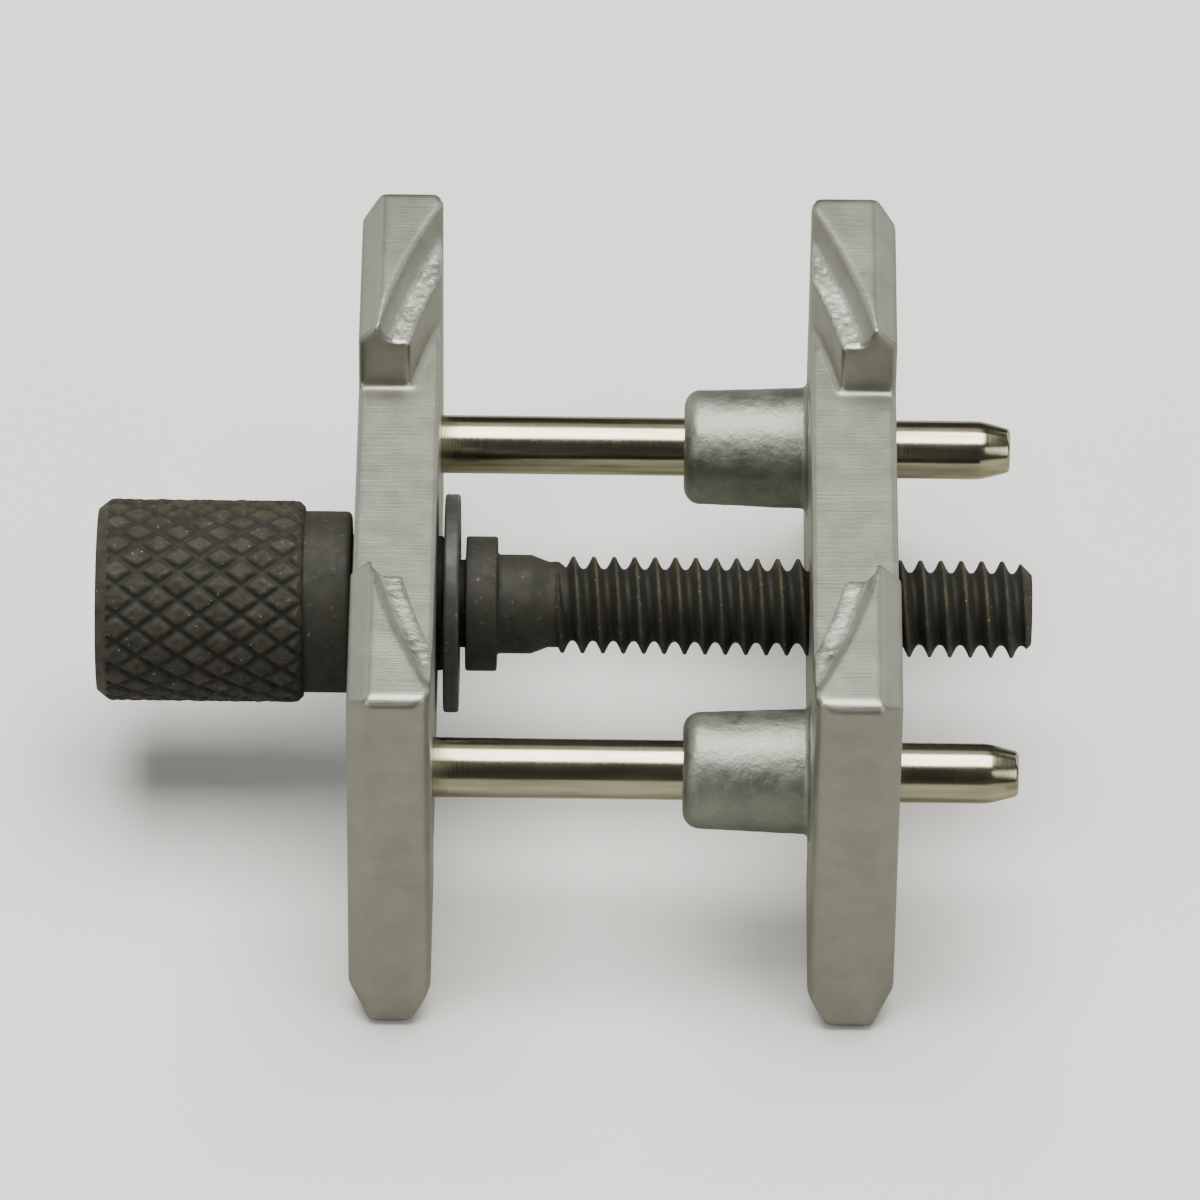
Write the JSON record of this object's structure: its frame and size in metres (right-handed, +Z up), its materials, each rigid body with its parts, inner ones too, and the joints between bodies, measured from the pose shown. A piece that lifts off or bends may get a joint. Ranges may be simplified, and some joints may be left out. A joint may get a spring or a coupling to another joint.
{
  "type": "watch movement holder",
  "caption": "Reversible screw clamp: two stepped metal jaws on guide pins, drawn together by a knurled screw to grip a watch movement.",
  "frame": {"origin": "on the ground under the middle of the clamping screw's length", "axes": "+X along the screw from the knob to its tip, +Y along the jaws, +Z up"},
  "size_m": [0.0456, 0.037, 0.0216],
  "materials": {
    "cast_alloy": "die-cast light alloy, faces milled, satin grey",
    "nickel_plate": "bright warm nickel plate",
    "black_oxide_steel": "brown-black oxide on turned steel",
    "spring_steel": "oiled blue-black spring steel"
  },
  "bodies": {
    "fixed_jaw": {"fixed_jaw": "cast_alloy", "guide_pin_far": "nickel_plate", "guide_pin_near": "nickel_plate"},
    "screw": {"clamping_screw": "black_oxide_steel", "retaining_clip": "spring_steel"},
    "moving_jaw": {"moving_jaw": "cast_alloy"}
  },
  "joints": [
    {"name": "knob_turn", "type": "hinge", "parent": "fixed_jaw", "child": "screw", "pos_m": [0, 0, 0.0108], "axis": [1, 0, 0], "range_deg": [-2106, 4284]},
    {"name": "jaw_slide", "type": "slide", "parent": "fixed_jaw", "child": "moving_jaw", "axis": [1, 0, 0], "range_m": [-0.0119, 0.00585]}
  ],
  "couplings": [
    {"joint": "jaw_slide", "follows": "knob_turn", "m_per_rad": -0.00015915}
  ]
}
